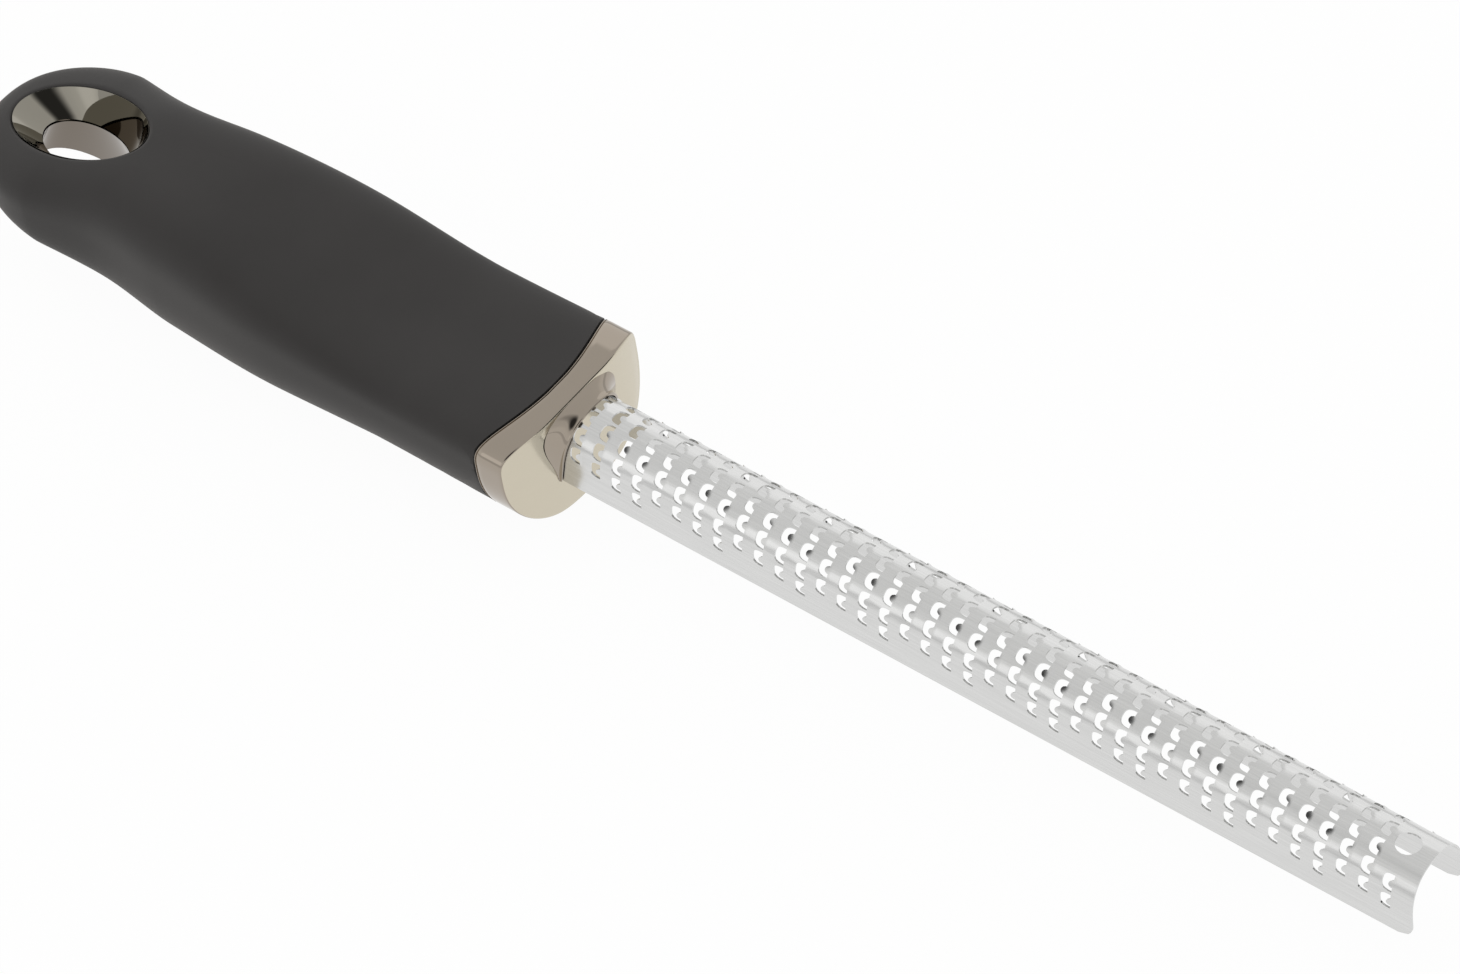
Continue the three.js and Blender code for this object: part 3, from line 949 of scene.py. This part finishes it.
@dataclass(frozen=True)
class Bolster:
    """The plated cap and the collar around the blade's root."""

    hand: HandForm
    form: BladeForm
    around: int = 192
    seam_gap: float = 0.3
    rim: float = 0.45
    rear_rim: float = 0.25
    rim_steps: int = 7
    cavity_shares: Floats = (0.02, 0.35, 0.7, 1.0)
    band_ends: Pair = (0.1, 0.9)
    band_rings: int = 7
    face_shares: Floats = (0.94, 0.86, 0.75, 0.6, 0.45, 0.3, 0.15, 0.02)
    wall: float = 1.8
    front_wall: float = 3.0
    collar_sunk: float = 0.02
    collar_gap: float = 0.15
    collar_wall: float = 0.2
    collar_wall_lean: float = 0.03
    collar_reach: float = 0.35
    collar_lean: float = 0.235
    foot_points: int = 8
    arch_points: int = 97
    slope_points: int = 12
    edge_points: int = 9
    edge_start: float = 0.92
    edge_thinning: float = 0.4
    inner_wall: Floats = (0.1, 0.0, 0.0)
    inner_reach: Floats = (1.0, 0.97, 0.0)
    flare: float = 0.1
    flare_bend: float = 0.035
    flare_power: float = 2.2
    top_gap: float = 0.25

    def cap_points(self) -> Array:
        """Work out the cap: rings that go from the middle of the inner face out along the
        cavity, over the rear edge, along the outside, over a round rim and in to the middle of
        the front face. Each ring is the hand form's section drawn in by its depth. The rear
        edge's rings run from the outside in, so a fold as small as that edge lies at the seam.

        Returns:
            Points by ring and by turn.
        """
        angle = (np.arange(self.around) + 0.5) * 2 * math.pi / self.around
        y, z = self.hand.section(np.full_like(angle, self.hand.seam), angle)
        after = np.stack([np.roll(y, -1) - np.roll(y, 1), np.roll(z, -1) - np.roll(z, 1)])
        normal_y, normal_z = np.stack([after[1], -after[0]]) / np.hypot(*after)
        turn = np.linspace(0, math.pi / 2, self.rim_steps)
        back = self.hand.seam_at(y) + self.seam_gap
        face = self.hand.face_at(y)
        rear, front = back + self.rear_rim, face - self.rim
        rings = [(face - self.front_wall, self.wall, share) for share in self.cavity_shares]
        rings.append((back, self.wall, 1.0))
        for step in turn:
            rings.append((rear - self.rear_rim * math.sin(step),
                          self.rear_rim * (1 - math.cos(step)), 1.0))
        for share in np.linspace(*self.band_ends, self.band_rings):
            rings.append((rear + (front - rear) * share, 0.0, 1.0))
        for step in turn:
            rings.append((front + self.rim * math.sin(step), self.rim * (1 - math.cos(step)), 1.0))
        rings += [(face, self.rim, share) for share in self.face_shares]
        middle = float((z.max() + z.min()) / 2)
        made = []
        for x, depth, share in rings:
            ring_y = (y - depth * normal_y) * share
            ring_z = middle + (z - depth * normal_z - middle) * share
            if share < 1.0:
                x = x - face + self.hand.face_at(ring_y)
            made.append(stacked(x, ring_y, ring_z))
        return np.stack(made)

    def collar_points(self) -> Array:
        """Work out the collar: a profile of depth and reach carried along the blade's arch from
        one foot to the other. It leaves the face in a flare that grows with the square of the
        height, narrows along the blade and turns over a thin front edge; its reach grows with
        height too. Upwards the depth levels off below the top of the cap.

        Returns:
            Points by place along the arch and place along the profile.
        """
        foot = np.linspace(0, self.form.flank, self.foot_points)[:-1]
        angle = np.linspace(0, math.pi, self.arch_points)
        rise = self.form.height - self.form.flank
        slope = np.linspace(0, self.edge_start, self.slope_points)
        turn = np.linspace(0, math.pi / 2, self.edge_points)
        edge_wall = 1 - self.edge_thinning * (1 - np.cos(turn))
        edge_reach = self.edge_start + (1 - self.edge_start) * np.sin(turn)
        body = np.r_[np.ones_like(slope), edge_wall, self.inner_wall]
        along = np.r_[slope, edge_reach, self.inner_reach]
        flare = np.zeros_like(body)
        flare[:len(slope)] = (1 - slope / self.edge_start) ** self.flare_power
        y_arch = signed_power(np.cos(angle), 2 / self.form.power)
        z_arch = signed_power(np.sin(angle), 2 / self.form.power)
        side = np.r_[np.ones_like(foot), y_arch, -np.ones_like(foot)][:, None]
        lift = np.r_[np.zeros_like(foot), z_arch, np.zeros_like(foot)][:, None]
        base = np.r_[foot, np.full_like(angle, self.form.flank), foot[::-1]][:, None]
        height = base + lift * rise
        depth = self.collar_gap + body * (self.collar_wall + self.collar_wall_lean * height)
        depth = depth + flare * (self.flare + self.flare_bend * height**2)
        room = float(self.hand.tops.at(np.array(0.0))) - self.form.height - self.top_gap
        y = side * (self.form.width / 2 + depth)
        z = base + lift * (rise + room * (1 - np.exp(-depth / room)))
        reach = self.collar_reach + self.collar_lean * height
        return stacked(along * reach - self.collar_sunk, y, z)

    def build(self) -> None:
        """Make the cap and the collar in place of the bolster's solid."""
        # The face takes the paler copy of the plating, which is painted light. The band and the
        # collar take the plating's own colour.
        band, face = Finish.BAND.material(), Finish.FACE.material()
        cap = self.cap_points()
        rings, turns = cap.shape[:2]
        ends = [np.arange(turns)[None, ::-1], (rings - 1) * turns + np.arange(turns)[None, :]]
        on_face = np.arange(rings - 1) >= rings - 1 - len(self.face_shares) - self.rim_steps // 2
        slots = np.r_[np.repeat(on_face, turns), [False, True]]
        cap_piece = add_piece("bolster_cap", cap, [grid_quads(cap, False)[:, ::-1], *ends],
                              [band, face], crease_deg=40, slots=slots)
        collar = self.collar_points()
        places, steps = collar.shape[:2]
        ends = [np.arange(steps)[None, :], (places - 1) * steps + np.arange(steps)[None, ::-1]]
        collar_piece = add_piece("bolster_collar", collar,
                                 [grid_quads(collar, False)[:, ::-1], *ends], [band],
                                 crease_deg=40)
        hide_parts("front_bolster")


@dataclass(frozen=True)
class Card:
    """A round card with a soft edge in the white tent around the tool, mirrored in its metals.

    The angles are in degrees: where the card hangs, and how far from its middle its soft edge
    ends and begins. The level is its brightness.
    """

    name: str
    azimuth: float
    elevation: float
    outer: float
    inner: float
    level: float

    def aim(self) -> Triple:
        """Give the direction of the card's middle."""
        turn, rise = math.radians(self.azimuth), math.radians(self.elevation)
        return (math.cos(rise) * math.cos(turn), math.cos(rise) * math.sin(turn), math.sin(rise))


@dataclass(frozen=True)
class SoftBox:
    """A soft lamp: where it hangs and its width and height, in metres, and its power in watts."""

    name: str
    place: Triple
    size: Pair
    watts: float


@dataclass(frozen=True)
class Studio:
    """White floor, white tent, soft lamps and the camera at the photograph's angle.

    The floor's level is in millimetres, other places and sizes are in metres, and the camera's
    sensor is in millimetres. The tent's stops go by height, from straight down to straight up.
    """

    floor_level: float = -8.65
    floor_reach: float = 6.0
    paper: str = "#f2f2f0"
    paper_roughness: float = 0.9
    white_share: float = 0.96
    pool: Pair = (0.07, 0.12)
    pool_dim: float = 0.74
    image_width: int = 1460
    focal_px: float = 7331.2
    sensor: float = 36.0
    sight: float = 20.0
    camera_place: Triple = (0.5235, -0.4846, 0.8166)
    image_right: Triple = (0.7807, 0.6152, -0.1096)
    image_down: Triple = (0.4166, -0.6431, -0.6425)
    tent: Stops = (
        (0.5, (0.98, 0.98, 0.98, 1)),
        (0.62, (0.98, 0.98, 0.97, 1)),
        (0.72, (0.87, 0.87, 0.865, 1)),
        (1.0, (0.82, 0.82, 0.815, 1)),
    )
    cards: tuple[Card, ...] = (
        Card("far_white", 122, 16, 28, 25, 1.12),
        Card("near_white", -119, 11, 13, 6, 1.2),
        Card("camera_black", -75, 55, 32, 12, 0.05),
        Card("front_black", 29, 22, 22, 14, 0.03),
    )
    boxes: tuple[SoftBox, ...] = (
        SoftBox("overhead_box", (0.0, 0.1, 1.4), (1.6, 1.0), 3.0),
        SoftBox("left_box", (-0.9, -0.8, 0.9), (0.8, 0.8), 2.0),
        SoftBox("right_box", (0.9, 0.9, 0.8), (0.8, 0.8), 1.0),
    )
    lamp_target: Triple = (0.02, 0.0, 0.0)

    def camera(self) -> None:
        """Place the camera from its image axes and focal length."""
        data = bpy.data.cameras.new("photo_camera")
        data.sensor_fit = "HORIZONTAL"
        data.sensor_width = self.sensor
        data.lens = self.focal_px / self.image_width * data.sensor_width
        data.clip_end = self.sight
        right = Vector(self.image_right).normalized()
        down = Vector(self.image_down)
        up = -(down - right * down.dot(right)).normalized()
        back = right.cross(up)
        turn = Matrix((right, up, back)).transposed().to_4x4()
        camera = add_object("photo_camera", data)
        camera.matrix_world = Matrix.Translation(self.camera_place) @ turn
        bpy.context.scene.camera = camera

    def floor(self) -> None:
        """Lay a wide white floor that shows nearly white to the camera; in the metals it is white
        along the tool and dimmer further away."""
        reach, level = self.floor_reach, self.floor_level * MM
        mesh = bpy.data.meshes.new("studio_floor")
        mesh.from_pydata([(-reach, -reach, level), (reach, -reach, level),
                          (reach, reach, level), (-reach, reach, level)], [], [(0, 1, 2, 3)])
        floor = add_object("studio_floor", mesh)
        material, tree, paper = new_material("white_paper")
        set_inputs(tree, paper, {"Base Color": linear(self.paper),
                                 "Roughness": self.paper_roughness})
        path = add_node(tree, "LightPath")
        camera_ray = path.outputs["Is Camera Ray"]
        seen = add_node(tree, "Math", {0: camera_ray, 1: path.outputs["Is Glossy Ray"]},
                        operation="MAXIMUM")
        share = add_node(tree, "Math", {0: seen.outputs[0], 1: self.white_share},
                         operation="MULTIPLY")
        place = add_node(tree, "NewGeometry").outputs["Position"]
        split = add_node(tree, "SeparateXYZ", {0: place})
        away = add_node(tree, "Math", {0: split.outputs["Y"]}, operation="ABSOLUTE")
        pool = add_node(tree, "MapRange", {
            "Value": away.outputs[0], "From Min": self.pool[0], "From Max": self.pool[1],
            "To Min": 1.0, "To Max": self.pool_dim}, interpolation_type="SMOOTHSTEP")
        strength = add_node(tree, "Math", {0: camera_ray, 1: pool.outputs["Result"]},
                            operation="MAXIMUM")
        glow = add_node(tree, "Emission", {"Color": WHITE, "Strength": strength.outputs[0]})
        mix = add_node(tree, "MixShader",
                       {0: share.outputs[0], 1: paper.outputs[0], 2: glow.outputs[0]})
        tree.links.new(mix.outputs[0], tree.nodes["Material Output"].inputs["Surface"])
        mesh.materials.append(material)

    def world(self) -> None:
        """Light the room as a white tent, dimmer overhead, in which a few cards hang; the camera
        sees it plain white."""
        world = bpy.data.worlds.new("studio")
        world.use_nodes = True
        tree = world.node_tree
        place = add_node(tree, "TexCoord").outputs["Generated"]
        split = add_node(tree, "SeparateXYZ", {0: place})
        height = add_node(tree, "MapRange", {"Value": split.outputs["Z"], "From Min": -1.0})
        sky = add_ramp(tree, height.outputs["Result"], self.tent)
        for card in self.cards:
            dot = add_node(tree, "VectorMath", {0: place, 1: card.aim()},
                           operation="DOT_PRODUCT")
            soft = add_node(tree, "MapRange", {
                "Value": dot.outputs["Value"],
                "From Min": math.cos(math.radians(card.outer)),
                "From Max": math.cos(math.radians(card.inner))}, interpolation_type="SMOOTHSTEP")
            hung = add_node(tree, "Mix", {
                "Factor": soft.outputs["Result"], MIX_FROM: sky,
                MIX_TO: (card.level, card.level, card.level, 1)},
                data_type="RGBA", label=card.name)
            sky = hung.outputs[MIX_RESULT]
        path = add_node(tree, "LightPath")
        white = add_node(tree, "Mix", {"Factor": path.outputs["Is Camera Ray"],
                                       MIX_FROM: sky, MIX_TO: WHITE}, data_type="RGBA")
        set_inputs(tree, tree.nodes["Background"],
                   {"Color": white.outputs[MIX_RESULT], "Strength": 1.0})
        bpy.context.scene.world = world

    def lamp(self, box: SoftBox) -> None:
        """Hang one soft box aimed at the middle of the tool, unseen in its mirrors."""
        data = bpy.data.lights.new(box.name, "AREA")
        data.shape = "RECTANGLE"
        data.size, data.size_y = box.size
        data.energy = box.watts
        lamp = add_object(box.name, data)
        aim = Vector(self.lamp_target) - Vector(box.place)
        turn = aim.to_track_quat("-Z", "Y").to_matrix().to_4x4()
        lamp.matrix_world = Matrix.Translation(box.place) @ turn
        lamp.visible_glossy = False

    def build(self) -> None:
        """Set up the camera, floor, world and lamps."""
        bpy.context.scene.view_settings.view_transform = "Standard"
        self.camera()
        self.floor()
        self.world()
        for box in self.boxes:
            self.lamp(box)


def main() -> None:
    """Load the frame, build each piece, dress the hidden solids and set up the studio."""
    logging.basicConfig(level=logging.INFO)
    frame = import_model()
    hand, eye, form = HandForm(), EyeForm(), BladeForm()
    Grip(hand, eye).build()
    HangingEye(hand, eye).build()
    Bolster(hand, form).build()
    Blade(form, ToothPattern()).build()
    hidden = {"handle_core_upper": Finish.CORE, "handle_core_lower": Finish.CORE,
              "tang_pin_front": Finish.PIN, "tang_pin_rear": Finish.PIN}
    for name, finish in hidden.items():
        node = frame["nodes"][name]
        node.data.materials.clear()
        node.data.materials.append(finish.material())
        LOG.info("%s dressed as %s", name, finish.name)
    Studio().build()


if __name__ == "__main__":
    main()
